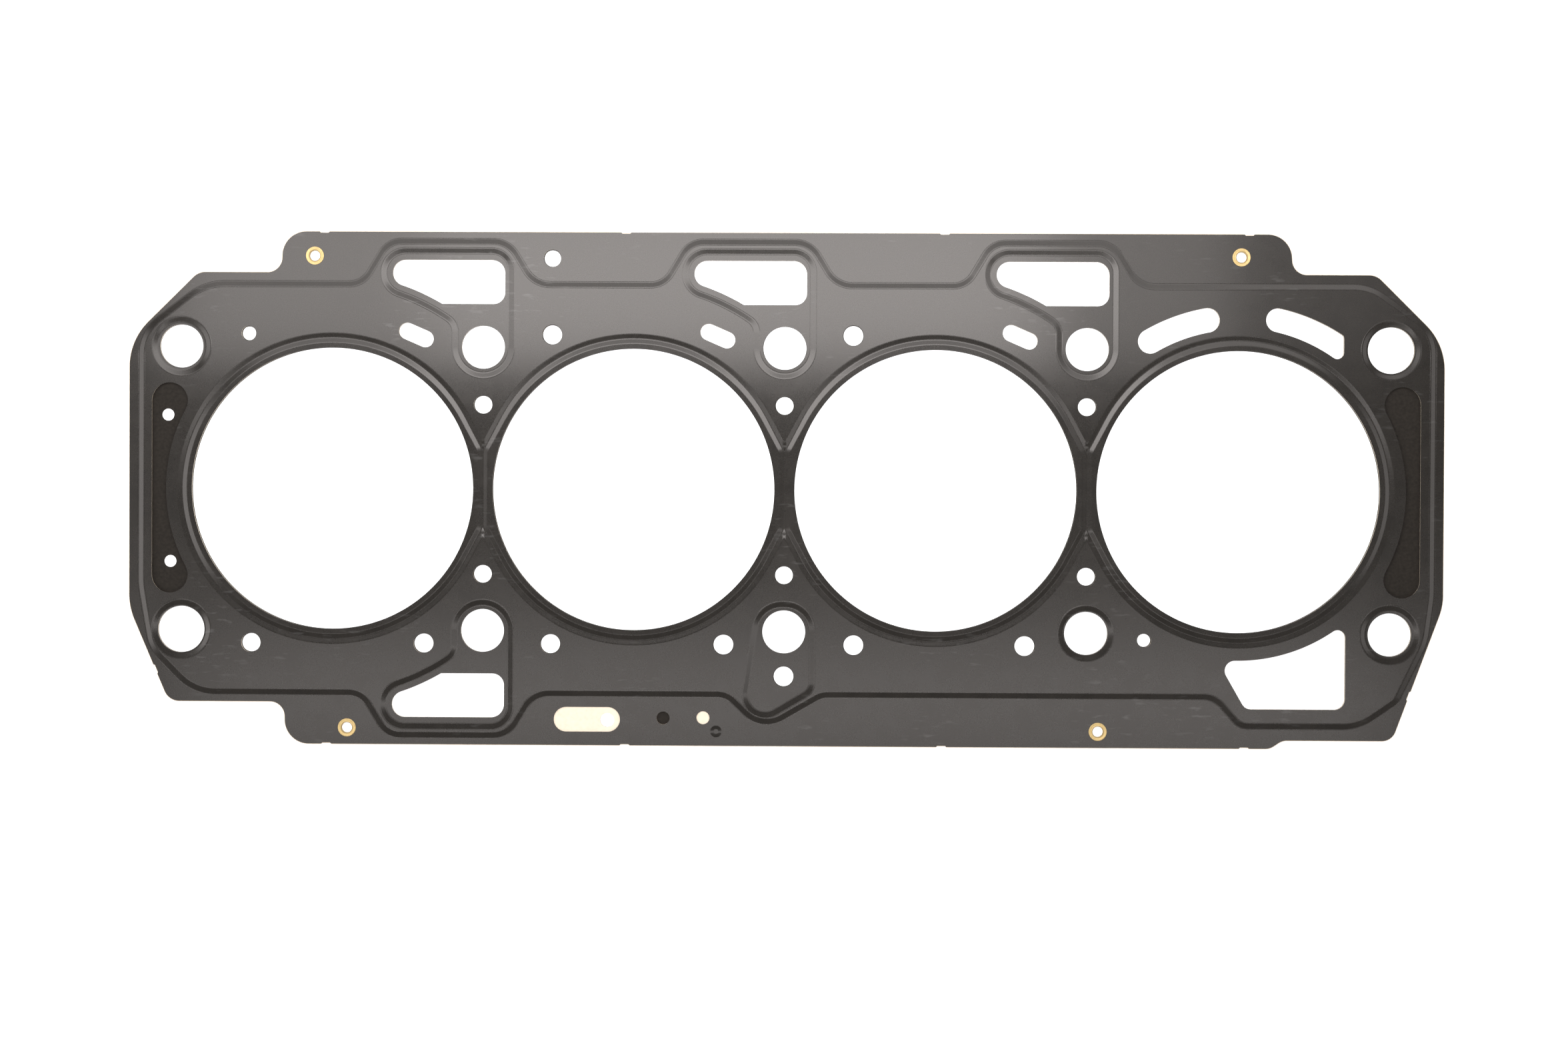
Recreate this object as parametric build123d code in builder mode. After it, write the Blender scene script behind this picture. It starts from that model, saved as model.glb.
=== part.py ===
from build123d import *
from math import atan, atan2, cos, degrees, radians, sin, sqrt
import os

# Cylinder head gasket for an inline four: three stamped sheets and four eyelets.
# Millimetres. X runs along the bores, Y across them, Z is up from the lower face.

# Sheets, from the lower face up. The two outer ones are pressed, so that their field
# stands off the flat carrier and their rim and seats lie on it.
sheet = 0.25
bead = 0.20
carrier = 0.45
ramp = 1.4
carrier_bottom = bead + sheet
carrier_top = carrier_bottom + carrier
stack = carrier_top + bead + sheet
ramp_taper = degrees(atan(ramp / bead))

# Cylinder bores and the full bead round each
pitch = 90.0
bores = [-1.5 * pitch, -0.5 * pitch, 0.5 * pitch, 1.5 * pitch]
bore_top = 42.1
bore_lower = 42.0
crest = pitch / 2
crest_land = 0.1
flank = 1.3
flank_taper = degrees(atan(flank / bead))
leg_angle = 28.0

# Bolt holes: five columns, two rows. Two that lie across from each other also take a
# dowel. The carrier's are the tight ones.
bolt_x = 180.2
bolt_y = 42.3
bolt_hole = 6.4
dowel_hole = 6.9
bolt_room = 0.2
corner_collar = 8.0
side_collar = 7.5
seat_collar = 8.4

# Windows beside the bolts, each inside a pressed border that also takes the bolt
columns = [-pitch, 0.0, pitch]
border_reach = 61.4
border_top = border_reach + 9.6
border_end = 6.6
border_corner = 6.0
border_neck = 5.0
window_inset = 2.7
window_right = 6.5
window_corner = 4.0
window_floor = border_reach - 6.25
window_heel = 3.5

# Slanted slots beside the rear bolts
slot_offset = (-20.0, 45.85)
slot_length = 10.9
slot_width = 5.0
slot_angle = -23.5

# Openings round the fourth bore
rear_arc = (48.3, 55.6, 100.4, 120.5)
right_arc = (48.9, 56.0, 45.0, 77.3)
right_arc_end = 166.2
front_window = [(167.1, -20.0), (167.1, -64.7), (137.46, -64.7), (116.8, -28.57)]
front_window_reach = 50.2

# Round holes: x, y, radius in the upper sheet. The sheets below are a step smaller.
holes = [
    (-160.1, 46.2, 2.2),
    (-69.4, 46.1, 3.0),
    (20.4, 46.1, 3.1),
    (-69.4, 68.85, 2.6),
    (-159.3, -46.2, 2.9),
    (-107.6, -46.2, 3.0),
    (-69.7, -46.2, 3.0),
    (-18.0, -46.2, 3.1),
    (20.8, -46.2, 3.1),
    (71.8, -46.2, 3.1),
    (107.3, -44.3, 2.1),
    (0.0, -55.6, 3.1),
]
bridge_hole = 2.8
bridge_hole_y = [25.15, -25.4]
hole_step = 0.15

# End crescents, with two metering holes under the left one
crescent_side = 189.1
crescent_end = 5.4
crescent_reach = 26.0
metering = [(-184.4, 21.8), (-183.7, -22.0)]
metering_hole = 1.8

# Front rim: a window and two holes that stop at a lower sheet, and a pressed mark
rim_window = (-58.7, -68.7, 19.8, 7.4)
rim_through = (-52.6, -68.9, 2.1)
rim_deep = (-35.9, -68.2, 1.95)
rim_shallow = (-24.0, -68.05, 1.95)
rim_mark = (-20.1, -72.15, 1.8)
rim_mark_floor = 0.7
rim_mark_depth = 0.12

# Eyelets that hold the sheets together
eyelets = {
    "eyelet_rear_left": (-140.4, 69.4),
    "eyelet_rear_right": (135.6, 69.8),
    "eyelet_front_left": (-130.5, -71.5),
    "eyelet_front_right": (93.7, -71.6),
}
eyelet_flange = 2.7
eyelet_barrel = 2.0
eyelet_hole = 1.55
eyelet_roll = 0.12

# Outer edge: corner points, each with its radius, clockwise from the left rear
edge = [
    (-195.8, 44.0, 19.0),
    (-175.2, 64.4, 5.0),
    (-150.1, 64.4, 4.5),
    (-150.1, 76.6, 7.2),
    (150.2, 76.6, 7.2),
    (150.8, 64.6, 4.5),
    (175.6, 64.6, 5.0),
    (196.0, 44.3, 19.0),
    (196.0, -33.7, 18.0),
    (181.1, -73.9, 4.2),
    (148.6, -73.9, 4.5),
    (144.9, -76.4, 4.5),
    (-149.1, -76.4, 7.2),
    (-149.1, -63.8, 4.5),
    (-183.9, -63.8, 4.7),
    (-195.8, -35.8, 20.0),
]
carrier_margin = 0.2
notch_width = 3.0
notch_depth = 0.35
notches = [
    (-137.5, 76.6, 0.0),
    (-47.4, 76.6, 0.0),
    (47.5, 76.6, 0.0),
    (138.0, 76.6, 0.0),
    (-136.7, -76.4, 0.0),
    (-47.4, -76.4, 0.0),
    (47.1, -76.4, 0.0),
    (137.2, -76.4, 0.0),
    (-187.86, -54.3, 113.0),
    (186.06, -60.5, 69.7),
]

# Half bead inside the edge: corner points, each with its radius
border = [(-192.2, 46.3, 13.0), (-173.1, 61.0, 18.0)]
for column in columns:
    border.append((column - 36.1, 61.0, 7.0))
    border.append((column - 28.4, 73.8, 7.0))
    border.append((column + 7.4, 73.8, 8.0))
    border.append((column + 15.2, 61.0, 8.5))
border += [
    (173.7, 61.1, 15.0),
    (192.7, 47.6, 12.0),
    (192.6, -31.0, 30.0),
    (190.8, -44.5, 20.0),
    (182.3, -62.0, 5.0),
    (171.2, -69.7, 16.0),
    (136.0, -69.7, 5.5),
    (128.4, -61.0, 7.5),
    (11.4, -61.0, 7.0),
    (-6.3, -71.2, 9.0),
    (-17.0, -61.0, 7.0),
    (-74.8, -61.0, 8.5),
    (-82.4, -73.6, 8.0),
    (-118.4, -73.6, 7.0),
    (-126.1, -61.0, 7.0),
    (-176.2, -60.9, 15.0),
    (-189.1, -47.9, 12.0),
    (-192.3, -29.0, 30.0),
]

# Half bead round the middle front bolt and the small hole beside it
pear = [(-7.5, -34.1, 8.0), (8.45, -34.1, 8.0), (8.45, -59.8, 4.0), (-13.3, -72.75, 6.0)]


def polar(centre, radius, angle):
    """Point on a circle."""
    x = centre[0] + radius * cos(radians(angle))
    y = centre[1] + radius * sin(radians(angle))
    return (x, y)


def arc(centre, radius, start, end):
    """Arc about a centre between two angles."""
    middle = (start + end) / 2
    ThreePointArc(polar(centre, radius, start), polar(centre, radius, middle), polar(centre, radius, end))


def rounded(corners):
    """Closed line through corner points, each rounded to its own radius."""
    points = [(x, y) for x, y, r in corners]
    FilletPolyline(*points, radius=[r for x, y, r in corners], close=True)


# Border bead path
with BuildSketch() as border_path:
    with BuildLine():
        rounded(border)
    make_face()
    offset(amount=ramp / 2)

# Pear shaped seat
with BuildSketch() as pear_seat:
    with BuildLine():
        rounded(pear)
    make_face()
    offset(amount=-ramp / 2)

# Seat round a window and its bolt, drawn for the column at x = 0
bore_near = (-pitch / 2, 0)
end_y = border_top - border_end
end_x = sqrt((border_reach + border_end) ** 2 - end_y**2) - pitch / 2
end_angle = degrees(atan2(end_y, end_x + pitch / 2))
neck_x = -seat_collar - border_neck
neck_y = sqrt((border_reach - border_neck) ** 2 - (neck_x + pitch / 2) ** 2)
neck_angle = degrees(atan2(neck_y, neck_x + pitch / 2))
with BuildSketch() as window_seat:
    with BuildLine():
        Line((end_x, border_top), (seat_collar - border_corner, border_top))
        arc((seat_collar - border_corner, border_top - border_corner), border_corner, 90, 0)
        Line((seat_collar, border_top - border_corner), (seat_collar, bolt_y))
        arc((0, bolt_y), seat_collar, 0, -180)
        Line((-seat_collar, bolt_y), (-seat_collar, neck_y))
        arc((neck_x, neck_y), border_neck, 0, neck_angle)
        arc(bore_near, border_reach, neck_angle, end_angle)
        arc((end_x, end_y), border_end, end_angle + 180, 90)
    make_face()
    offset(amount=-ramp / 2)

# Window, drawn for the column at x = 0
window_top = border_top - window_inset
window_reach = border_reach + window_inset
window_end = border_end - window_inset
floor_x = sqrt(window_reach**2 - window_floor**2) - pitch / 2
floor_angle = degrees(atan2(window_floor, floor_x + pitch / 2))
with BuildSketch() as window:
    with BuildLine():
        Line((end_x, window_top), (window_right - window_corner, window_top))
        arc((window_right - window_corner, window_top - window_corner), window_corner, 90, 0)
        Line((window_right, window_top - window_corner), (window_right, window_floor + window_heel))
        arc((window_right - window_heel, window_floor + window_heel), window_heel, 0, -90)
        Line((window_right - window_heel, window_floor), (floor_x, window_floor))
        arc(bore_near, window_reach, floor_angle, end_angle)
        arc((end_x, end_y), window_end, end_angle + 180, 90)
    make_face()

# Bead trough round all four bores, at the level of the carrier
outer = crest + crest_land
outer_rise = outer * sin(radians(leg_angle))
outer_run = crest - outer * cos(radians(leg_angle))
outer_apex = outer_rise - outer_run / sin(radians(leg_angle)) * cos(radians(leg_angle))
with BuildSketch() as bore_trough:
    with BuildLine():
        arc((bores[0], 0), outer, leg_angle, 360 - leg_angle)
        for bore in bores[1:3]:
            arc((bore, 0), outer, leg_angle, 180 - leg_angle)
            arc((bore, 0), outer, 180 + leg_angle, 360 - leg_angle)
        arc((bores[3], 0), outer, 180 + leg_angle, 540 - leg_angle)
        for bridge in columns:
            for side in (-1, 1):
                Line((bridge - outer_run, side * outer_rise), (bridge, side * outer_apex))
                Line((bridge, side * outer_apex), (bridge + outer_run, side * outer_rise))
    make_face()

# Raised flange inside the bead of each bore, at the level of the carrier
inner = crest - crest_land
inner_rise = inner * sin(radians(leg_angle))
inner_start = inner * cos(radians(leg_angle))
inner_apex = inner_rise - (inner - inner_start) / sin(radians(leg_angle)) * cos(radians(leg_angle))
with BuildSketch() as bore_flanges:
    for bore in bores:
        inward = [side for side in (-1, 1) if abs(bore + side * pitch) < 2 * pitch]
        with BuildLine():
            if len(inward) == 2:
                arc((bore, 0), inner, leg_angle, 180 - leg_angle)
                arc((bore, 0), inner, 180 + leg_angle, 360 - leg_angle)
            if inward == [1]:
                arc((bore, 0), inner, leg_angle, 360 - leg_angle)
            if inward == [-1]:
                arc((bore, 0), inner, 180 + leg_angle, 540 - leg_angle)
            for side in inward:
                Line((bore + side * inner_start, inner_rise), (bore + side * inner, inner_apex))
                Line((bore + side * inner, inner_apex), (bore + side * inner, -inner_apex))
                Line((bore + side * inner, -inner_apex), (bore + side * inner_start, -inner_rise))
        make_face()

# Raised field of a pressed sheet: inside the border bead, less the bore beads and the seats
with BuildPart() as field:
    add(border_path.sketch)
    extrude(amount=bead, taper=ramp_taper)
    add(bore_trough.sketch)
    extrude(amount=bead, taper=-flank_taper, mode=Mode.SUBTRACT)
    add(bore_flanges.sketch)
    extrude(amount=bead, taper=flank_taper)
    with Locations(*[(x, 0) for x in columns]):
        add(window_seat.sketch)
    with Locations((-pitch, 0)):
        add(mirror(window_seat.sketch, about=Plane.XZ, mode=Mode.PRIVATE))
    add(pear_seat.sketch)
    extrude(amount=bead, taper=-ramp_taper, mode=Mode.SUBTRACT)
    with Locations(*[(x, y, bead / 2) for x in (-bolt_x, bolt_x) for y in (-bolt_y, bolt_y)]):
        Cone(corner_collar - ramp / 2, corner_collar + ramp / 2, bead, mode=Mode.SUBTRACT)
    with Locations((pitch, -bolt_y, bead / 2)):
        Cone(side_collar - ramp / 2, side_collar + ramp / 2, bead, mode=Mode.SUBTRACT)

# Outer edge
with BuildSketch() as edge_face:
    with BuildLine():
        rounded(edge)
    make_face()
with BuildSketch() as edge_notches:
    for x, y, turn in notches:
        with Locations(Location((x, y, 0), (0, 0, turn))):
            Rectangle(notch_width, 2 * notch_depth)

# Pressed sheet before its openings are cut, shown as the upper one
with BuildPart() as pressed:
    with BuildSketch(Plane.XY.offset(carrier_top)):
        add(edge_face.sketch)
        add(edge_notches.sketch, mode=Mode.SUBTRACT)
    extrude(amount=sheet)
    with Locations((0, 0, carrier_top + sheet)):
        add(field.part)
    with Locations((0, 0, carrier_top)):
        add(field.part, mode=Mode.SUBTRACT)

# Openings round the fourth bore
fourth = (bores[3], 0)
with BuildSketch() as rear_slot:
    with BuildLine(mode=Mode.PRIVATE):
        rear_path = CenterArc(fourth, (rear_arc[0] + rear_arc[1]) / 2, rear_arc[2], rear_arc[3] - rear_arc[2])
    SlotArc(rear_path, rear_arc[1] - rear_arc[0])
with BuildSketch() as right_slot:
    with BuildLine(mode=Mode.PRIVATE):
        right_path = CenterArc(
            fourth, (right_arc[0] + right_arc[1]) / 2, right_arc[2], right_arc[3] - right_arc[2]
        )
    SlotArc(right_path, right_arc[1] - right_arc[0])
    with Locations((right_arc_end, 0)):
        Rectangle(pitch, 2 * pitch, align=(Align.MIN, Align.CENTER), mode=Mode.SUBTRACT)
    fillet(right_slot.vertices().group_by(Axis.X)[-1], radius=1.5)
with BuildSketch() as front_opening:
    with BuildLine():
        Polyline(*front_window, close=True)
    make_face()
    with Locations(fourth):
        Circle(front_window_reach, mode=Mode.SUBTRACT)
    fillet(front_opening.vertices().group_by(Axis.Y)[0], radius=3.2)
    fillet(front_opening.vertices().group_by(Axis.X)[0], radius=3.0)
    fillet(front_opening.vertices().group_by(Axis.Y)[-1], radius=2.3)

# Right end crescent
crescent_centre = (crescent_side - crescent_end, crescent_reach)
crescent_below = (crescent_side - crescent_end, -crescent_reach)
crescent_turn = degrees(atan2(crescent_reach, crescent_centre[0] - fourth[0]))
crescent_arc = (crescent_centre[0] - fourth[0]) / cos(radians(crescent_turn)) - crescent_end
with BuildSketch() as crescent:
    with BuildLine():
        Line((crescent_side, -crescent_reach), (crescent_side, crescent_reach))
        arc(crescent_centre, crescent_end, 0, 180 + crescent_turn)
        arc(fourth, crescent_arc, crescent_turn, -crescent_turn)
        arc(crescent_below, crescent_end, 180 - crescent_turn, 360)
    make_face()

# Openings that the sheets share: upper sheet, carrier, lower sheet
dowels = [(-bolt_x, -bolt_y), (bolt_x, bolt_y)]
bolts = [(-bolt_x, bolt_y), (bolt_x, -bolt_y)] + [(x, y) for x in columns for y in (-bolt_y, bolt_y)]
bridge_holes = [(x, y) for x in columns for y in bridge_hole_y]
slots = [(x + slot_offset[0], slot_offset[1]) for x in columns]
sheet_openings = []
for bore_radius, room, less in (
    (bore_top, bolt_room, 0),
    (bore_lower, 0, hole_step),
    (bore_lower, bolt_room, hole_step),
):
    with BuildSketch() as openings:
        with Locations(*[(x, 0) for x in bores]):
            Circle(bore_radius)
        with Locations(*dowels):
            Circle(dowel_hole + room)
        with Locations(*bolts):
            Circle(bolt_hole + room)
        with Locations(*bridge_holes):
            Circle(bridge_hole - less)
        for x, y, radius in holes:
            with Locations((x, y)):
                Circle(radius - less)
        with Locations(*eyelets.values()):
            Circle(eyelet_barrel)
        with Locations(*slots):
            SlotOverall(slot_length, slot_width, rotation=slot_angle)
        with Locations(*[(x, 0) for x in columns]):
            add(window.sketch)
        with Locations((-pitch, 0)):
            add(mirror(window.sketch, about=Plane.XZ, mode=Mode.PRIVATE))
        add(rear_slot.sketch)
        add(right_slot.sketch)
        add(front_opening.sketch)
    sheet_openings.append(openings.sketch)
upper_openings, carrier_openings, lower_openings = sheet_openings

# Crescents in the upper sheet and the carrier
with BuildSketch() as crescents:
    add(crescent.sketch)
    mirror(crescent.sketch, about=Plane.YZ)

# Upper sheet
with BuildPart() as top_layer:
    add(pressed.part)
    with BuildSketch(Plane.XY.offset(carrier_top)):
        add(upper_openings)
        add(crescents.sketch)
        with Locations(rim_window[:2]):
            SlotOverall(rim_window[2], rim_window[3])
        for x, y, radius in (rim_deep, rim_shallow):
            with Locations((x, y)):
                Circle(radius)
    extrude(amount=bead + sheet, mode=Mode.SUBTRACT)
    with Locations((rim_mark[0], rim_mark[1], carrier_top + sheet - rim_mark_depth / 2)):
        Cone(rim_mark_floor, rim_mark[2], rim_mark_depth, mode=Mode.SUBTRACT)
top_layer.part.label = "top_layer"

# Flat sheet between them
with BuildPart() as carrier_layer:
    with BuildSketch(Plane.XY.offset(carrier_bottom)):
        add(offset(edge_face.sketch, amount=carrier_margin, mode=Mode.PRIVATE))
        add(edge_notches.sketch, mode=Mode.SUBTRACT)
        add(carrier_openings, mode=Mode.SUBTRACT)
        add(crescents.sketch, mode=Mode.SUBTRACT)
        for x, y, radius in (rim_through, rim_deep):
            with Locations((x, y)):
                Circle(radius, mode=Mode.SUBTRACT)
    extrude(amount=carrier)
carrier_layer.part.label = "carrier_layer"

# Lower sheet, pressed the other way up
with BuildPart() as bottom_layer:
    mirror(pressed.part, about=Plane.XY.offset(carrier_bottom + carrier / 2))
    with BuildSketch():
        add(lower_openings)
        with Locations(rim_through[:2]):
            Circle(rim_through[2])
        with Locations(*metering):
            Circle(metering_hole)
    extrude(amount=bead + sheet, mode=Mode.SUBTRACT)
bottom_layer.part.label = "bottom_layer"

os.makedirs("parts", exist_ok=True)
export_step(top_layer.part, "parts/top_layer.step")
export_step(carrier_layer.part, "parts/carrier_layer.step")
export_step(bottom_layer.part, "parts/bottom_layer.step")

# Eyelets: a barrel through the sheets and a rolled flange on each side
for node, (x, y) in eyelets.items():
    with BuildPart() as eyelet:
        with Locations((x, y, 0)):
            Cylinder(eyelet_barrel, stack, align=(Align.CENTER, Align.CENTER, Align.MIN))
            Cylinder(eyelet_flange, bead, align=(Align.CENTER, Align.CENTER, Align.MIN))
        with Locations((x, y, stack)):
            Cylinder(eyelet_flange, bead, align=(Align.CENTER, Align.CENTER, Align.MAX))
        with Locations((x, y, 0)):
            Cylinder(
                eyelet_hole, stack, align=(Align.CENTER, Align.CENTER, Align.MIN), mode=Mode.SUBTRACT
            )
        rims = eyelet.edges().filter_by(GeomType.CIRCLE).group_by(Axis.Z)
        chamfer(rims[0] + rims[-1], length=eyelet_roll)
    eyelet.part.label = node
    export_step(eyelet.part, "parts/" + node + ".step")
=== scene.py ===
from math import acos, atan, atan2, ceil, cos, hypot, pi, radians, sin, sqrt, tan

import bpy
import numpy as np
from mathutils import Matrix, Vector
from mathutils.geometry import delaunay_2d_cdt


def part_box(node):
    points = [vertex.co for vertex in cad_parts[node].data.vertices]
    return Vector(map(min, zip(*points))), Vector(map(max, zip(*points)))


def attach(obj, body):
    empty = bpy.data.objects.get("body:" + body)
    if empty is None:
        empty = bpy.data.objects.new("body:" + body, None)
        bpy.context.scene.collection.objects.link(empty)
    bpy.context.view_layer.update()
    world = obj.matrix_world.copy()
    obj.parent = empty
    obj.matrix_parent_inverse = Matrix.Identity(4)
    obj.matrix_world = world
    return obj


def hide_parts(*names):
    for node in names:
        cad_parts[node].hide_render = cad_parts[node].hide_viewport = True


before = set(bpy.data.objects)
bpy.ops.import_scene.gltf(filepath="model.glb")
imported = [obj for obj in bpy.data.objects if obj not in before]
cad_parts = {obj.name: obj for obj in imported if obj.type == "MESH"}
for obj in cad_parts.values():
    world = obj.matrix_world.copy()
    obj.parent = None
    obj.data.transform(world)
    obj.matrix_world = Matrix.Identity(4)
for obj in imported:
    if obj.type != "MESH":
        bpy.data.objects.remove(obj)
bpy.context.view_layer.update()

# Cylinder head gasket: three stamped sheets and four eyelets, lying on white.
# Plan sizes are millimetres in the frame's own axes. Levels come from the frame.

MM = 0.001
CARRIER_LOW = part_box("carrier_layer")[0][2] / MM
CARRIER_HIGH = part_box("carrier_layer")[1][2] / MM
UPPER_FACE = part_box("top_layer")[1][2] / MM

# Distance between the points of a line: outer edge and seats, beads, and edges of openings
LINE_STEP = 0.6
BEAD_STEP = 1.4
HOLE_EDGE_STEP = 0.45
BORE_EDGE_STEP = 1.0

SHEET = 0.25
BEAD = UPPER_FACE - CARRIER_HIGH - SHEET
# Width of a ramp, and half the width over which it bends at its top and foot
RAMP = 1.4
BEND = 0.2

# Cylinder bores and their beads
PITCH = 90.0
BORES = [-1.5 * PITCH, -0.5 * PITCH, 0.5 * PITCH, 1.5 * PITCH]
COLUMNS = [-PITCH, 0.0, PITCH]
BORE_UPPER = 42.1
BORE_LOWER = 42.0
CREST = PITCH / 2
CREST_LAND = 0.1
FLANK = 1.3
# Share of the bead's height by which the flange falls towards the bore
DROOP = 0.25
# Half the angle between the straight legs of two beads that join at a bridge
LEG = radians(28.0)
# Share of a leg's length that is rounded where it meets the next
LEG_BEND = 0.15

# Bolt holes
BOLT_X = 180.2
BOLT_Y = 42.3
BOLT_HOLE = 6.45
DOWEL_HOLE = 6.95
# Share of the step between the sheets' holes that the bolt holes take
BOLT_SHARE = 0.3
CORNER_COLLAR = 8.0
SIDE_COLLAR = 7.5
SEAT_COLLAR = 8.4

# Window seats and windows, for the column at x = 0
BORDER_TOP = 71.0
BORDER_REACH = 61.4
BORDER_END = 6.6
BORDER_CORNER = 6.0
BORDER_NECK = 5.0
WINDOW_INSET = 2.7
WINDOW_RIGHT = 6.5
WINDOW_CORNER = 4.0
WINDOW_FLOOR = 55.15
WINDOW_HEEL = 3.5

# Slots and openings round the fourth bore. An arc is its inner and outer radius and its ends
# in degrees.
SLOT_OFFSET = (-20.0, 45.85)
SLOT_LENGTH = 10.9
SLOT_WIDTH = 5.0
SLOT_TURN = radians(-23.5)
REAR_ARC = (48.3, 55.6, 100.4, 120.5)
RIGHT_ARC = (48.9, 56.0, 77.3)
RIGHT_ARC_END = 166.2
RIGHT_ARC_CORNERS = (2.0, 1.2)
FRONT_REACH = 50.2
FRONT_RIGHT = 167.1
FRONT_FLOOR = -64.7
FRONT_FOOT = 137.46
FRONT_LEAN = radians(29.76)
FRONT_TIP = 3.0
FRONT_HEEL = 2.3
FRONT_CORNER = 3.2

# Round holes: x, y, radius in the upper sheet. The last one lies in the pear shaped seat.
HOLES = [
    (-160.1, 46.2, 2.2),
    (-69.4, 46.1, 3.0),
    (20.4, 46.1, 3.1),
    (-69.4, 68.85, 2.6),
    (-159.3, -46.2, 2.9),
    (-107.6, -46.2, 3.0),
    (-69.7, -46.2, 3.0),
    (-18.0, -46.2, 3.1),
    (20.8, -46.2, 3.1),
    (71.8, -46.2, 3.1),
    (107.3, -44.3, 2.1),
    (0.0, -55.6, 3.1),
]
PEAR_HOLE = HOLES[-1]
BRIDGE_HOLE = 2.8
BRIDGE_HOLE_Y = (25.15, -25.4)
HOLES += [(x, y, BRIDGE_HOLE) for x in COLUMNS for y in BRIDGE_HOLE_Y]
# The lower sheet's holes are a step smaller. The carrier's edges stand back, out of sight.
HOLE_STEP = 0.15
HIDDEN = 0.05

# End crescents
CRESCENT_SIDE = 189.1
CRESCENT_END = 5.4
CRESCENT_REACH = 26.0
METERING = [(-184.4, 21.8), (-183.7, -22.0)]
METERING_HOLE = 1.8

# Front rim
RIM_WINDOW = (-58.7, -68.7, 19.8, 7.4)
RIM_THROUGH = (-52.6, -68.9, 2.1)
RIM_DEEP = (-35.9, -68.2, 1.95)
RIM_SHALLOW = (-24.0, -68.05, 1.95)
RIM_MARK = (-20.1, -72.15, 1.8)
RIM_MARK_DEPTH = 0.12
# Rings of the mark: how far in from its rim, depth, and slope of its wall
RIM_MARK_RINGS = [(0.0, 0.0, 0.0), (0.12, 0.02, 0.13), (0.9, 0.10, 0.1), (1.1, RIM_MARK_DEPTH, 0.0)]

EYELETS = ["eyelet_rear_left", "eyelet_rear_right", "eyelet_front_left", "eyelet_front_right"]
EYELET_HOLE = 1.55
EYELET_BARREL = 2.0
EYELET_STEPS = 40
# Groove round the eyelet's face: distance from the barrel's radius, depth
EYELET_GROOVE = [(0.25, 0.03), (0.04, 0.12), (-0.08, 0.12), (-0.18, 0.02)]
# Radius of the rounded mouth, and how far the flange's underside stands back from its rim
EYELET_LIP = 0.2
EYELET_TUCK = 0.03

# Outer edge: corner points with the radius at each
EDGE = [
    (-195.8, 44.0, 19.0),
    (-175.2, 64.4, 5.0),
    (-150.1, 64.4, 4.5),
    (-150.1, 76.6, 7.2),
    (150.2, 76.6, 7.2),
    (150.8, 64.6, 4.5),
    (175.6, 64.6, 5.0),
    (196.0, 44.3, 19.0),
    (196.0, -33.7, 18.0),
    (181.1, -73.9, 4.2),
    (148.6, -73.9, 4.5),
    (144.9, -76.4, 4.5),
    (-149.1, -76.4, 7.2),
    (-149.1, -63.8, 4.5),
    (-183.9, -63.8, 4.7),
    (-195.8, -35.8, 20.0),
]
CARRIER_MARGIN = 0.2
NOTCH_WIDTH = 3.0
NOTCH_DEPTH = 0.35
NOTCH_REACH = 1.0
# Corners of a notch: shares of its width and of its depth
NOTCH_CORNERS = [(-0.5, 0.0), (-0.4, 1.0), (0.4, 1.0), (0.5, 0.0)]
NOTCHES = [
    (-137.5, 76.6),
    (-47.4, 76.6),
    (47.5, 76.6),
    (138.0, 76.6),
    (-136.7, -76.4),
    (-47.4, -76.4),
    (47.1, -76.4),
    (137.2, -76.4),
    (-187.86, -54.3),
    (186.06, -60.5),
]

# Half bead inside the edge: corner points with the radius at each
BORDER = [(-192.2, 46.3, 13.0), (-173.1, 61.0, 18.0)]
for column in COLUMNS:
    BORDER += [
        (column - 36.1, 61.0, 7.0),
        (column - 28.4, 73.8, 7.0),
        (column + 7.4, 73.8, 8.0),
        (column + 15.2, 61.0, 8.5),
    ]
BORDER += [
    (173.7, 61.1, 15.0),
    (192.7, 47.6, 12.0),
    (192.6, -31.0, 30.0),
    (190.8, -44.5, 20.0),
    (182.3, -62.0, 5.0),
    (171.2, -69.7, 16.0),
    (136.0, -69.7, 5.5),
    (128.4, -61.0, 7.5),
    (11.4, -61.0, 7.0),
    (-6.3, -71.2, 9.0),
    (-17.0, -61.0, 7.0),
    (-74.8, -61.0, 8.5),
    (-82.4, -73.6, 8.0),
    (-118.4, -73.6, 7.0),
    (-126.1, -61.0, 7.0),
    (-176.2, -60.9, 15.0),
    (-189.1, -47.9, 12.0),
    (-192.3, -29.0, 30.0),
]

# Half bead round the middle front bolt
PEAR = [(-7.5, -34.1, 8.0), (8.45, -34.1, 8.0), (8.45, -59.8, 4.0), (-13.3, -72.75, 6.0)]


# Outlines. Each is a list of arcs (x, y, radius, start, end), run anticlockwise and joined
# by straight lines. A concave arc runs backwards. Growing an outline only changes radii.

def rounded(corners):
    """Outline through corner points (x, y, radius)."""
    area = sum(a[0] * b[1] - b[0] * a[1] for a, b in zip(corners, corners[1:] + corners[:1]))
    run = corners if area > 0 else corners[::-1]
    arcs = []
    for before, (x, y, radius), after in zip(run[-1:] + run[:-1], run, run[1:] + run[:1]):
        came = Vector((x - before[0], y - before[1])).normalized()
        goes = Vector((after[0] - x, after[1] - y)).normalized()
        turn = atan2(came.x * goes.y - came.y * goes.x, came.dot(goes))
        back = radius * tan(abs(turn) / 2)
        side = 1 if turn > 0 else -1
        centre_x = x - came.x * back - side * radius * came.y
        centre_y = y - came.y * back + side * radius * came.x
        start = atan2(-side * came.x, side * came.y)
        arcs.append((centre_x, centre_y, radius, start, start + turn))
    return arcs


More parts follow.
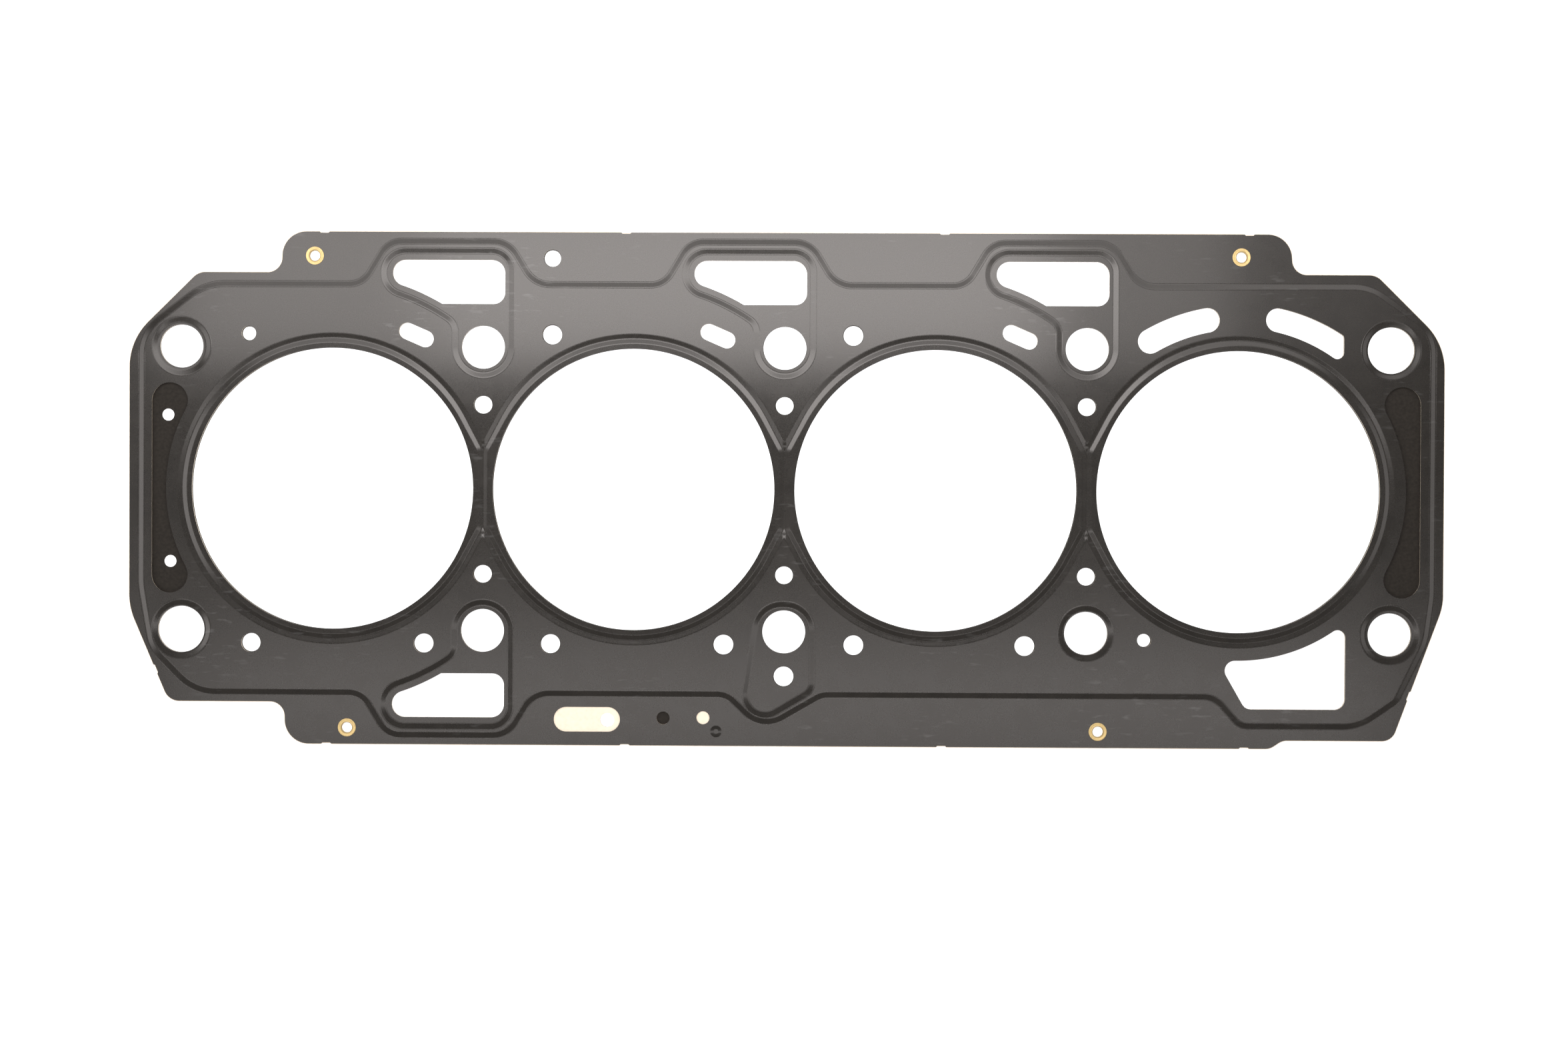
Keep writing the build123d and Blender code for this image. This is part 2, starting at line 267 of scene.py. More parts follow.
def circle(x, y, radius):
    return [(x, y, radius, 0.0, 2 * pi)]


def slot(x, y, length, width, turn=0.0):
    """Slot with round ends."""
    half = (length - width) / 2
    along = (cos(turn) * half, sin(turn) * half)
    return [
        (x + along[0], y + along[1], width / 2, turn - pi / 2, turn + pi / 2),
        (x - along[0], y - along[1], width / 2, turn + pi / 2, turn + 3 * pi / 2),
    ]


def shifted(arcs, dx=0.0, mirror=False):
    """Move an outline along X, and mirror it from rear to front first where asked."""
    if mirror:
        arcs = [(x, -y, r, -end, -start) for x, y, r, start, end in reversed(arcs)]
    return [(x + dx, y, r, start, end) for x, y, r, start, end in arcs]


def turned(arcs):
    """Mirror an outline from the right end to the left."""
    return [(-x, y, r, pi - end, pi - start) for x, y, r, start, end in reversed(arcs)]


def trace(arcs, grow=0.0, step=LINE_STEP):
    """Points of an outline with the outward direction at each: rows of x, y, nx, ny."""
    rows = []
    for x, y, radius, start, end in arcs:
        side = 1 if end > start else -1
        count = max(2, ceil(abs(end - start) * max(radius, 0.5) / step) + 1)
        for angle in np.linspace(start, end, count):
            reach, nx, ny = radius + side * grow, cos(angle), sin(angle)
            rows.append((x + reach * nx, y + reach * ny, side * nx, side * ny))
    if hypot(rows[0][0] - rows[-1][0], rows[0][1] - rows[-1][1]) < 1e-6:
        rows.pop()
    return rows


def window_seat():
    """Border round a window and its bolt, for the column at x = 0 at the rear."""
    end_y = BORDER_TOP - BORDER_END
    end_x = sqrt((BORDER_REACH + BORDER_END) ** 2 - end_y**2) - PITCH / 2
    tangent = atan2(end_y, end_x + PITCH / 2)
    neck_x = -SEAT_COLLAR - BORDER_NECK
    neck_y = sqrt((BORDER_REACH - BORDER_NECK) ** 2 - (neck_x + PITCH / 2) ** 2)
    meet = atan2(neck_y, neck_x + PITCH / 2)
    return [
        (SEAT_COLLAR - BORDER_CORNER, BORDER_TOP - BORDER_CORNER, BORDER_CORNER, 0.0, pi / 2),
        (end_x, end_y, BORDER_END, pi / 2, tangent + pi),
        (-PITCH / 2, 0.0, BORDER_REACH, tangent, meet),
        (neck_x, neck_y, BORDER_NECK, meet, 0.0),
        (0.0, BOLT_Y, SEAT_COLLAR, -pi, 0.0),
    ]


def window():
    """Window inside its seat: one side slants along the next bore."""
    top = BORDER_TOP - WINDOW_INSET
    reach = BORDER_REACH + WINDOW_INSET
    end = BORDER_END - WINDOW_INSET
    end_y = top - end
    end_x = sqrt((reach + end) ** 2 - end_y**2) - PITCH / 2
    tangent = atan2(end_y, end_x + PITCH / 2)
    meet = atan2(WINDOW_FLOOR, sqrt(reach**2 - WINDOW_FLOOR**2))
    return [
        (WINDOW_RIGHT - WINDOW_CORNER, top - WINDOW_CORNER, WINDOW_CORNER, 0.0, pi / 2),
        (end_x, end_y, end, pi / 2, tangent + pi),
        (-PITCH / 2, 0.0, reach, tangent, meet),
        (WINDOW_RIGHT - WINDOW_HEEL, WINDOW_FLOOR + WINDOW_HEEL, WINDOW_HEEL, -pi / 2, 0.0),
    ]


def right_slot():
    """Curved slot cut off square at its right end."""
    inner, outer, turn = RIGHT_ARC
    turn = radians(turn)
    middle = (inner + outer) / 2
    end = RIGHT_ARC_END - BORES[3]
    round_low, round_high = RIGHT_ARC_CORNERS
    low = acos((end - round_low) / (inner + round_low))
    high = acos((end - round_high) / (outer - round_high))
    return [
        (BORES[3] + end - round_low, (inner + round_low) * sin(low), round_low, low + pi, 2 * pi),
        (BORES[3] + end - round_high, (outer - round_high) * sin(high), round_high, 0.0, high),
        (BORES[3], 0.0, outer, high, turn),
        (BORES[3] + middle * cos(turn), middle * sin(turn), (outer - inner) / 2, turn, turn + pi),
        (BORES[3], 0.0, inner, turn, low),
    ]


def rear_slot():
    """Curved slot with round ends, behind the fourth bore."""
    inner, outer, start, end = REAR_ARC
    start, end = radians(start), radians(end)
    middle, half = (inner + outer) / 2, (outer - inner) / 2
    return [
        (BORES[3], 0.0, outer, start, end),
        (BORES[3] + middle * cos(end), middle * sin(end), half, end, end + pi),
        (BORES[3], 0.0, inner, end, start),
        (BORES[3] + middle * cos(start), middle * sin(start), half, start + pi, start + 2 * pi),
    ]


def front_window():
    """Window under the fourth bore: its rear side follows the bore."""
    right, floor, foot_x = FRONT_RIGHT - BORES[3], FRONT_FLOOR, FRONT_FOOT - BORES[3]
    along = Vector((-sin(FRONT_LEAN), cos(FRONT_LEAN)))
    inward = Vector((cos(FRONT_LEAN), sin(FRONT_LEAN)))
    tip, heel, corner = FRONT_TIP, FRONT_HEEL, FRONT_CORNER
    beside = Vector((foot_x, floor)) + inward * tip
    near = beside.dot(along)
    back = near + sqrt(near**2 - beside.length_squared + (FRONT_REACH + tip) ** 2)
    tip_centre = beside - along * back
    heel_centre = Vector((right - heel, -sqrt((FRONT_REACH + heel) ** 2 - (right - heel) ** 2)))
    beside = Vector((foot_x, floor)) + inward * corner
    foot = beside + along * ((floor + corner - beside.y) / along.y)
    heel_turn = atan2(heel_centre.y, heel_centre.x)
    tip_turn = atan2(tip_centre.y, tip_centre.x)
    outward = FRONT_LEAN + pi
    arcs = [
        (foot.x, foot.y, corner, outward, 3 * pi / 2),
        (right - corner, floor + corner, corner, -pi / 2, 0.0),
        (heel_centre.x, heel_centre.y, heel, 0.0, heel_turn + pi),
        (0.0, 0.0, FRONT_REACH, heel_turn, tip_turn),
        (tip_centre.x, tip_centre.y, tip, tip_turn + pi, outward),
    ]
    return shifted(arcs, BORES[3])


def crescent():
    """Right end crescent: one straight side and one that follows the bore."""
    x = CRESCENT_SIDE - CRESCENT_END
    turn = atan2(CRESCENT_REACH, x - BORES[3])
    reach = hypot(x - BORES[3], CRESCENT_REACH) - CRESCENT_END
    return [
        (x, -CRESCENT_REACH, CRESCENT_END, pi - turn, 2 * pi),
        (x, CRESCENT_REACH, CRESCENT_END, 0.0, pi + turn),
        (BORES[3], 0.0, reach, turn, -turn),
    ]


def leg_points(bridge, run, apex, rise, side):
    """Straight legs of the bead at a bridge, met at a point on the bridge's middle.

    The side is 1 at the rear, where the line runs to the left, and -1 at the front.
    """
    y = rise + (apex - rise) * (1 - LEG_BEND)
    rows = [
        (bridge + way * run * LEG_BEND, side * y, -way * cos(LEG), side * sin(LEG))
        for way in (side, -side)
    ]
    return [rows[0], (bridge, side * apex, 0.0, side), rows[1]]


def bore_chain(grow, step=BEAD_STEP):
    """Line round all four bores, grown from the bead's crest."""
    radius = CREST + grow
    rise, run = radius * sin(LEG), PITCH / 2 - radius * cos(LEG)
    apex = rise - run / tan(LEG)
    rows = trace([(BORES[3], 0.0, radius, LEG - pi, pi - LEG)], step=step)
    for bridge, bore in ((COLUMNS[2], BORES[2]), (COLUMNS[1], BORES[1]), (COLUMNS[0], None)):
        rows += leg_points(bridge, run, apex, rise, 1)
        if bore is not None:
            rows += trace([(bore, 0.0, radius, LEG, pi - LEG)], step=step)
    rows += trace([(BORES[0], 0.0, radius, LEG, 2 * pi - LEG)], step=step)
    for bridge, bore in ((COLUMNS[0], BORES[1]), (COLUMNS[1], BORES[2]), (COLUMNS[2], None)):
        rows += leg_points(bridge, run, apex, rise, -1)
        if bore is not None:
            rows += trace([(bore, 0.0, radius, pi + LEG, 2 * pi - LEG)], step=step)
    return rows


def bore_flange(index, grow, step=BEAD_STEP):
    """Line inside one bore's bead, grown from the crest; it runs straight at a bridge."""
    x, radius = BORES[index], CREST + grow
    rise, start = radius * sin(LEG), radius * cos(LEG)
    apex = rise - (radius - start) / tan(LEG)
    bend_x, bend_y = x + radius - LEG_BEND * (radius - start), apex + LEG_BEND * (rise - apex)
    right = [
        (x + start, -rise, cos(LEG), -sin(LEG)),
        (bend_x, -bend_y, cos(LEG), -sin(LEG)),
        (x + radius, -apex, 1.0, 0.0),
        (x + radius, 0.0, 1.0, 0.0),
        (x + radius, apex, 1.0, 0.0),
        (bend_x, bend_y, cos(LEG), sin(LEG)),
        (x + start, rise, cos(LEG), sin(LEG)),
    ]
    left = [(2 * x - px, -py, -nx, -ny) for px, py, nx, ny in right]
    if index == 0:
        return right + trace([(x, 0.0, radius, LEG, 2 * pi - LEG)], step=step)[1:-1]
    if index == 3:
        return left + trace([(x, 0.0, radius, LEG - pi, pi - LEG)], step=step)[1:-1]
    top = trace([(x, 0.0, radius, LEG, pi - LEG)], step=step)[1:-1]
    bottom = trace([(x, 0.0, radius, pi + LEG, 2 * pi - LEG)], step=step)[1:-1]
    return right + top + left + bottom


def edge_line(grow=0.0):
    """Outer edge with its small notches cut into the straight stretches."""
    rows = trace(rounded(EDGE), grow)
    line = []
    for here, following in zip(rows, rows[1:] + rows[:1]):
        line.append(here)
        x, y = here[:2]
        length = hypot(following[0] - x, following[1] - y)
        if length < 2 * NOTCH_WIDTH:
            continue
        ux, uy = (following[0] - x) / length, (following[1] - y) / length
        found = []
        for notch_x, notch_y in NOTCHES:
            along = (notch_x - x) * ux + (notch_y - y) * uy
            off = abs((notch_x - x) * uy - (notch_y - y) * ux)
            if off < NOTCH_REACH and NOTCH_WIDTH < along < length - NOTCH_WIDTH:
                found.append(along)
        for along in sorted(found):
            for share, deep in NOTCH_CORNERS:
                run, depth = along + share * NOTCH_WIDTH, deep * NOTCH_DEPTH
                line.append((x + ux * run - uy * depth, y + uy * run + ux * depth, uy, -ux))
    return line


# Relief of the pressed sheets

# Points this near each other are one, and a triangle under this size is dropped
MERGE = 1e-5
SLIVER = 1e-9

# Rings of points on a half bead and on a full one, measured from their middles
HALF_RINGS = [-0.9, -0.77, -0.63, -0.5, 0.5, 0.63, 0.77, 0.9]
FULL_RINGS = [0.13, 0.26, 1.22, 1.34, 1.46, 1.6]
# Fine lines that the press leaves beside a half bead: place and slope
TOOL_MARKS = [(-1.05, 0.0), (-0.97, 0.4), (0.97, 0.4), (1.05, 0.0)]
CREST_BEND = 0.12


def ramp_sum(u, width):
    """Sum of an unrounded ramp's height from its foot to a distance up it."""
    return 0.0 if u <= 0 else u * u / (2 * width) if u < width else u - width / 2


def ramp(u, width, bend=BEND):
    """Share of the bead's height a distance up its ramp, with rounded bends, and its slope."""
    share = (ramp_sum(u + bend, width) - ramp_sum(u - bend, width)) / (2 * bend)
    slope = (min(max((u + bend) / width, 0), 1) - min(max((u - bend) / width, 0), 1)) / (2 * bend)
    return share, slope


def seats():
    """Outlines of the low seats round the windows and round the middle front bolt."""
    rear = [shifted(window_seat(), column) for column in COLUMNS]
    return rear + [shifted(window_seat(), COLUMNS[0], mirror=True), rounded(PEAR)]


def collars():
    """Outlines of the low rings round the bolts that have no seat."""
    corners = [circle(x, y, CORNER_COLLAR) for x in (-BOLT_X, BOLT_X) for y in (-BOLT_Y, BOLT_Y)]
    return corners + [circle(PITCH, -BOLT_Y, SIDE_COLLAR)]


class Net:
    """Points, levels and lines of one sheet, seen in plan, from which its mesh is made."""

    def __init__(self):
        self.points, self.levels, self.leans, self.dents = [], [], [], []
        self.lines, self.borders = [], []

    def add(self, rows, level, slope=0.0, dent=0.0, border=0, closed=True):
        """Take in a line: its height over the seats, the slope across it and a dent in the top.

        The border is 1 for the outer edge and -1 for an opening's.
        """
        first = len(self.points)
        for x, y, nx, ny in rows:
            self.points.append((x, y))
            self.levels.append(level)
            self.leans.append((-slope * nx, -slope * ny))
            self.dents.append(dent)
        count = len(rows)
        last = count if closed else count - 1
        self.lines += [(first + i, first + (i + 1) % count) for i in range(last)]
        if border:
            self.borders.append((border, list(range(first, first + count))))

    def cut(self, arcs, level=BEAD, grow=0.0, step=HOLE_EDGE_STEP, slope=0.0):
        self.add(trace(arcs, grow, step), level, slope=slope, border=-1)


def relief(net):
    """Border bead, seats, collars and bore beads."""
    for grow in HALF_RINGS:
        share, slope = ramp(RAMP / 2 - grow, RAMP)
        net.add(trace(rounded(BORDER), grow), BEAD * share, -BEAD * slope)
        share, slope = ramp(RAMP / 2 + grow, RAMP)
        # A collar's innermost ring would crowd its hole's edge.
        for outline in seats() + (collars() if grow > HALF_RINGS[0] else []):
            net.add(trace(outline, grow), BEAD * share, BEAD * slope)
    for grow, slope in TOOL_MARKS:
        net.add(trace(rounded(BORDER), grow), 0.0 if grow > 0 else BEAD, slope)
        for outline in seats() + (collars() if grow > 0 else []):
            net.add(trace(outline, grow), BEAD if grow > 0 else 0.0, -slope)
    net.add(bore_chain(0.0), 0.0)
    for bridge in COLUMNS:
        apex = CREST * sin(LEG) - (PITCH / 2 - CREST * cos(LEG)) / tan(LEG)
        net.add([(bridge, y, 0.0, 0.0) for y in np.linspace(-apex, apex, 5)], 0.0, closed=False)
    fall = BEAD * DROOP / (CREST - FLANK - CREST_LAND - BORE_UPPER)
    for grow in FULL_RINGS:
        share, slope = ramp(grow - CREST_LAND, FLANK, CREST_BEND)
        net.add(bore_chain(grow), BEAD * share, BEAD * slope)
        lower = fall * max(grow - CREST_LAND - FLANK, 0.0)
        lean = fall if grow == FULL_RINGS[-1] else 0.0
        for index in range(len(BORES)):
            net.add(bore_flange(index, -grow), BEAD * share - lower, lean - BEAD * slope)


def eyelet_place(node):
    low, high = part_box(node)
    return (low[0] + high[0]) / 2 / MM, (low[1] + high[1]) / 2 / MM


def openings(net, pressed, step, bore):
    """Openings that all sheets share; seats lie low where the sheet is pressed."""
    high = BEAD if pressed else 0.0
    droop = high * DROOP
    for x in BORES:
        outline = circle(x, 0.0, bore)
        net.cut(outline, high - droop, step=BORE_EDGE_STEP, slope=droop / (CREST - FLANK - bore))
    for x in COLUMNS + [-BOLT_X, BOLT_X]:
        for y in (-BOLT_Y, BOLT_Y):
            takes_dowel = abs(x) == BOLT_X and x * y > 0
            radius = DOWEL_HOLE if takes_dowel else BOLT_HOLE
            net.cut(circle(x, y, radius - step * BOLT_SHARE), 0.0)
    for hole in HOLES:
        x, y, radius = hole
        net.cut(circle(x, y, radius - step), 0.0 if hole == PEAR_HOLE else high)
    for x in COLUMNS:
        net.cut(shifted(window(), x), 0.0)
        net.cut(slot(x + SLOT_OFFSET[0], SLOT_OFFSET[1], SLOT_LENGTH, SLOT_WIDTH, SLOT_TURN), high)
    net.cut(shifted(window(), COLUMNS[0], mirror=True), 0.0)
    for outline in (rear_slot(), right_slot(), front_window()):
        net.cut(outline, high)
    for node in EYELETS:
        net.cut(circle(*eyelet_place(node), EYELET_BARREL), 0.0)


def inside(points, loops):
    """Whether each point lies inside an odd number of the loops."""
    x, y = points[:, 0], points[:, 1]
    odd = np.zeros(len(points), bool)
    for loop in loops:
        a, b = loop, np.roll(loop, -1, axis=0)
        near = (y > a[:, 1].min()) & (y < a[:, 1].max()) & (x < a[:, 0].max())
        px, py = x[near], y[near]
        hit = np.zeros(len(px), bool)
        for (ax, ay), (bx, by) in zip(a, b):
            if ay != by:
                spans = (ay > py) != (by > py)
                hit ^= spans & (px < (bx - ax) * (py - ay) / (by - ay) + ax)
        odd[near] ^= hit
    return odd


def plan_triangles(net):
    """Triangles between a net's lines, without the openings.

    Returns the points, the level, slope and dent at each, the triangles, and each border with
    its way and its points' numbers. A new point takes the nearest old one's height.
    """
    plan = [Vector(p) for p in net.points]
    verts, _, faces, origin, _, _ = delaunay_2d_cdt(plan, net.lines, [], 0, MERGE)
    kept = {}
    for new, olds in enumerate(origin):
        for old in olds:
            kept[old] = new
    points = np.array([tuple(v) for v in verts])
    source = np.array([olds[0] if olds else -1 for olds in origin])
    for stray in np.where(source < 0)[0]:
        away = np.hypot(*(np.array(net.points) - points[stray]).T)
        source[stray] = int(away.argmin())
    tris = np.array([f for f in faces if len(f) == 3])
    a, b, c = points[tris[:, 0]], points[tris[:, 1]], points[tris[:, 2]]
    turn = (b[:, 0] - a[:, 0]) * (c[:, 1] - a[:, 1]) - (b[:, 1] - a[:, 1]) * (c[:, 0] - a[:, 0])
    tris = np.where((turn < 0)[:, None], tris[:, ::-1], tris)
    loops = [np.array([net.points[i] for i in loop]) for _, loop in net.borders]
    tris = tris[inside((a + b + c) / 3, loops) & (abs(turn) > SLIVER)]
    used = np.unique(tris)
    number = np.full(len(points), -1)
    number[used] = np.arange(len(used))
    borders = [(way, [int(number[kept[i]]) for i in loop]) for way, loop in net.borders]
    values = [np.array(listed)[source][used] for listed in (net.levels, net.leans, net.dents)]
    return points[used], *values, number[tris], borders


def placed(name, data):
    """New object in the scene."""
    piece = bpy.data.objects.new(name, data)
    bpy.context.scene.collection.objects.link(piece)
    return piece


def smooth_mesh(name, verts, faces, slots, materials):
    """Mesh with smooth faces, each with the material of its slot."""
    mesh = bpy.data.meshes.new(name)
    mesh.from_pydata(verts, [], faces)
    mesh.polygons.foreach_set("use_smooth", [True] * len(faces))
    mesh.polygons.foreach_set("material_index", slots)
    for material in materials:
        mesh.materials.append(material)
    mesh.update()
    return mesh


def sheet_piece(name, net, low, thickness, up, materials):
    """Closed sheet from a net. A lower sheet (up = -1) has its relief turned down.

    The materials are for the outer face, the cut edges and the inner face.
    """
    points, level, lean, dent, tris, borders = plan_triangles(net)
    count = len(points)
    if up > 0:
        under, over = low + level, low + level + thickness - dent
    else:
        under, over = low - level, low - level + thickness
    coords = np.vstack([np.c_[points, under], np.c_[points, over]]) * MM

    # Two faces, then a wall along each border
    polys = [tuple(int(i) for i in t[::-1]) for t in tris]
    polys += [tuple(int(i) + count for i in t) for t in tris]
    flat = len(polys)
    for way, ring in borders:
        for i, j in zip(ring, ring[1:] + ring[:1]):
            if i != j and i >= 0 and j >= 0:
                polys.append((i, j, j + count, i + count) if way > 0 else (j, i, i + count, j + count))
    below, above = (2, 0) if up > 0 else (0, 2)
    slots = [below] * len(tris) + [above] * len(tris) + [1] * (len(polys) - flat)
    mesh = smooth_mesh(name, [tuple(c) for c in coords], polys, slots, materials)

    # Each ring's own slope gives the faces' shading
    face_up = np.c_[lean * up, np.ones(count)]
    face_up /= np.linalg.norm(face_up, axis=1)[:, None]
    normals = []
    for poly in mesh.polygons:
        for vert in poly.vertices:
            if poly.index >= flat:
                normals.append(tuple(poly.normal))
            elif vert >= count:
                normals.append(tuple(face_up[vert - count]))
            else:
                normals.append(tuple(-face_up[vert]))
    mesh.normals_split_custom_set(normals)
    return placed(name, mesh)


def upper_net():
    net = Net()
    net.add(edge_line(), 0.0, border=1)
    relief(net)
    openings(net, True, 0.0, BORE_UPPER)
    for outline in (crescent(), turned(crescent())):
        net.cut(outline)
    net.cut(slot(*RIM_WINDOW), 0.0)
    for hole in (RIM_DEEP, RIM_SHALLOW):
        net.cut(circle(*hole), 0.0)
    x, y, radius = RIM_MARK
    for inward, dent, slope in RIM_MARK_RINGS:
        net.add(trace(circle(x, y, radius - inward)), 0.0, slope, dent=dent)
    net.add([(x, y, 0.0, 0.0)], 0.0, dent=RIM_MARK_DEPTH, closed=False)
    return net


def carrier_net():
    net = Net()
    net.add(edge_line(CARRIER_MARGIN), 0.0, border=1)
    openings(net, False, -HIDDEN, BORE_UPPER + HIDDEN)
    for outline in (crescent(), turned(crescent())):
        net.cut(outline, 0.0, grow=2 * HIDDEN)
    for hole in (RIM_THROUGH, RIM_DEEP):
        net.cut(circle(*hole), 0.0)
    return net


def lower_net():
    net = Net()
    net.add(edge_line(), 0.0, border=1)
    relief(net)
    openings(net, True, HOLE_STEP, BORE_LOWER)
    net.cut(circle(*RIM_THROUGH), 0.0)
    for x, y in METERING:
        net.cut(circle(x, y, METERING_HOLE))
    return net


def eyelet_piece(node, materials):
    """Eyelet turned from a closed profile: barrel and a rolled rim at each end.

    The materials are for the face and for the mouth inside its groove, which is painted shade: a darker
    copy of the brass.
    """
    low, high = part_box(node)
    x, y = eyelet_place(node)
    rim, bottom, top = (high[0] - low[0]) / 2 / MM, low[2] / MM, high[2] / MM
    roll = BEAD / 2
    profile = []
    for edge, way in ((top, 1), (bottom, -1)):
        half = [(EYELET_BARREL, edge - way * BEAD), (rim - EYELET_TUCK, edge - way * BEAD)]
        for angle in np.linspace(-pi / 2, pi / 2, 7)[1:]:
            half.append((rim - roll + roll * cos(angle), edge - way * (roll - roll * sin(angle))))
        half += [(EYELET_BARREL + off, edge - way * depth) for off, depth in EYELET_GROOVE]
        for angle in np.linspace(pi / 2, pi, 5)[1:]:
            reach = EYELET_HOLE + EYELET_LIP * (1 + cos(angle))
            half.append((reach, edge - way * EYELET_LIP * (1 - sin(angle))))
        profile += half if way > 0 else half[::-1]
    verts, faces = [], []
    for k in range(EYELET_STEPS):
        turn = 2 * pi * k / EYELET_STEPS
        verts += [((x + r * cos(turn)) * MM, (y + r * sin(turn)) * MM, z * MM) for r, z in profile]
    count = len(profile)
    for k in range(EYELET_STEPS):
        here, following = k * count, (k + 1) % EYELET_STEPS * count
        for i in range(count):
            j = (i + 1) % count
            faces.append((here + i, following + i, following + j, here + j))
    # Faces from the groove's middle down into the hole get the darker brass: painted shade
    shaded_mouth_end = EYELET_BARREL + (EYELET_GROOVE[-1][0] + EYELET_GROOVE[-2][0]) / 2
    slots = [int(max(profile[i][0], profile[(i + 1) % count][0]) < shaded_mouth_end) for i in range(count)]
    name = node + "_brass"
    return placed(name, smooth_mesh(name, verts, faces, slots * EYELET_STEPS, materials))


# Materials

# The mix node's colour sockets
MIX_LOW, MIX_HIGH, MIX_RESULT = 6, 7, 2
# Middle part of a noise's values, which holds nearly all of them
NOISE = (0.3, 0.7)


class Nodes:
    """Short way to write a material's node tree."""

    def __init__(self, name):
        self.material = bpy.data.materials.new(name)
        self.material.use_nodes = True
        self.tree = self.material.node_tree
        self.shader = self.tree.nodes["Principled BSDF"]
        self.place = self.tree.nodes.new("ShaderNodeTexCoord").outputs["Object"]

    def node(self, kind, inputs=None, **settings):
        node = self.tree.nodes.new(kind)
        for key, value in settings.items():
            setattr(node, key, value)
        for key, value in (inputs or {}).items():
            if isinstance(value, bpy.types.NodeSocket):
                self.tree.links.new(value, node.inputs[key])
            else:
                node.inputs[key].default_value = value
        return node

    def noise(self, scale, detail=2.0, rough=0.5, place=None):
        inputs = {"Vector": place or self.place, "Scale": scale, "Detail": detail, "Roughness": rough}
        return self.node("ShaderNodeTexNoise", inputs).outputs["Fac"]

    def math(self, operation, a, b=0.0, c=0.0, clamp=False):
        node = self.node("ShaderNodeMath", {0: a, 1: b, 2: c}, operation=operation, use_clamp=clamp)
        return node.outputs[0]

    def span(self, value, low, high, to_low=0.0, to_high=1.0):
        inputs = {"Value": value, "From Min": low, "From Max": high, "To Min": to_low, "To Max": to_high}
        return self.node("ShaderNodeMapRange", inputs).outputs["Result"]

    def mix(self, factor, a, b):
        node = self.node("ShaderNodeMix", {"Factor": factor, MIX_LOW: a, MIX_HIGH: b}, data_type="RGBA")
        return node.outputs[MIX_RESULT]

    def set(self, name, value):
        if isinstance(value, bpy.types.NodeSocket):
            self.tree.links.new(value, self.shader.inputs[name])
        else:
            self.shader.inputs[name].default_value = value


def grey(value, warm=0.0):
    return (value * (1 + warm), value, value * (1 - warm), 1.0)


def coating():
    """Dark rubbery coat with soft clouds, mottle and grain, and a few faint scuffs."""
    n = Nodes("coating")
    cloud = n.noise(28.0, 3.0)
    mottle = n.noise(170.0, 4.0, 0.6)
    grain = n.noise(1700.0, 2.0, 0.6)
    speck = n.noise(5200.0, 1.0)
    patches = n.math("ADD", n.span(cloud, *NOISE, -0.12, 0.12), n.span(mottle, *NOISE, -0.2, 0.2))
    tone = n.math("ADD", patches, n.span(grain, *NOISE, -0.12, 0.12))
    tones = (-0.45, 0.45)
    stretch = {"Vector": n.place, "Scale": (190.0, 800.0, 190.0)}
    drawn = n.node("ShaderNodeMapping", stretch).outputs["Vector"]
    streaks = n.span(n.noise(1.0, 2.0, 0.5, drawn), 0.60, 0.72)
    scuff = n.math("MULTIPLY", streaks, n.span(cloud, 0.50, 0.62))
    clean = n.mix(n.span(tone, *tones), grey(0.009, 0.18), grey(0.018, 0.16))
    n.set("Base Color", n.mix(n.math("MULTIPLY", scuff, 0.5, clamp=True), clean, grey(0.07, 0.04)))
    n.set("Specular Tint", (1.0, 0.945, 0.92, 1.0))
    n.set("Roughness", n.span(tone, *tones, 0.15, 0.19))
    height = n.math("ADD", grain, n.math("MULTIPLY", speck, 0.5))
    bump = n.node("ShaderNodeBump", {"Height": height, "Strength": 0.03, "Distance": 0.00002})
    n.set("Normal", bump.outputs["Normal"])
    n.set("IOR", 1.5)
    return n.material


def shaded_inner_coat():
    """The same coat, darker and dull, as painted shade on the inner faces that lie between the sheets."""
    n = Nodes("shaded_inner_coat")
    grain = n.noise(1300.0, 3.0)
    n.set("Base Color", n.mix(n.span(grain, *NOISE), grey(0.010, 0.2), grey(0.017, 0.2)))
    n.set("Specular Tint", (1.0, 0.9, 0.86, 1.0))
    n.set("Specular IOR Level", 0.18)
    n.set("Roughness", 0.6)
    return n.material


def cut_edge():
    """Bare steel where the sheet was stamped."""
    n = Nodes("cut_edge")
    grain = n.noise(2500.0, 2.0)
    n.set("Base Color", n.mix(n.span(grain, *NOISE), grey(0.12, 0.12), grey(0.24, 0.12)))
    n.set("Metallic", 0.6)
    n.set("Roughness", 0.45)
    return n.material


def carrier_coat():
    """Pale cream finish of the carrier."""
    n = Nodes("carrier_coat")
    grain = n.noise(900.0, 3.0)
    n.set("Base Color", n.mix(n.span(grain, *NOISE), (0.84, 0.714, 0.557, 1.0), (0.92, 0.786, 0.63, 1.0)))
    n.set("Roughness", 0.5)
    return n.material


def eyelet_brass(name, share=1.0):
    """Soft brass. A share under one darkens it, as painted shade."""
    n = Nodes(name)
    grain = n.noise(1500.0, 3.0)
    dull, fresh = (0.58, 0.41, 0.172), (0.70, 0.51, 0.232)
    low, high = [tuple(share * part for part in colour) + (1.0,) for colour in (dull, fresh)]
    n.set("Base Color", n.mix(n.span(grain, *NOISE), low, high))
    n.set("Metallic", 0.5)
    n.set("Roughness", 0.48)
    return n.material


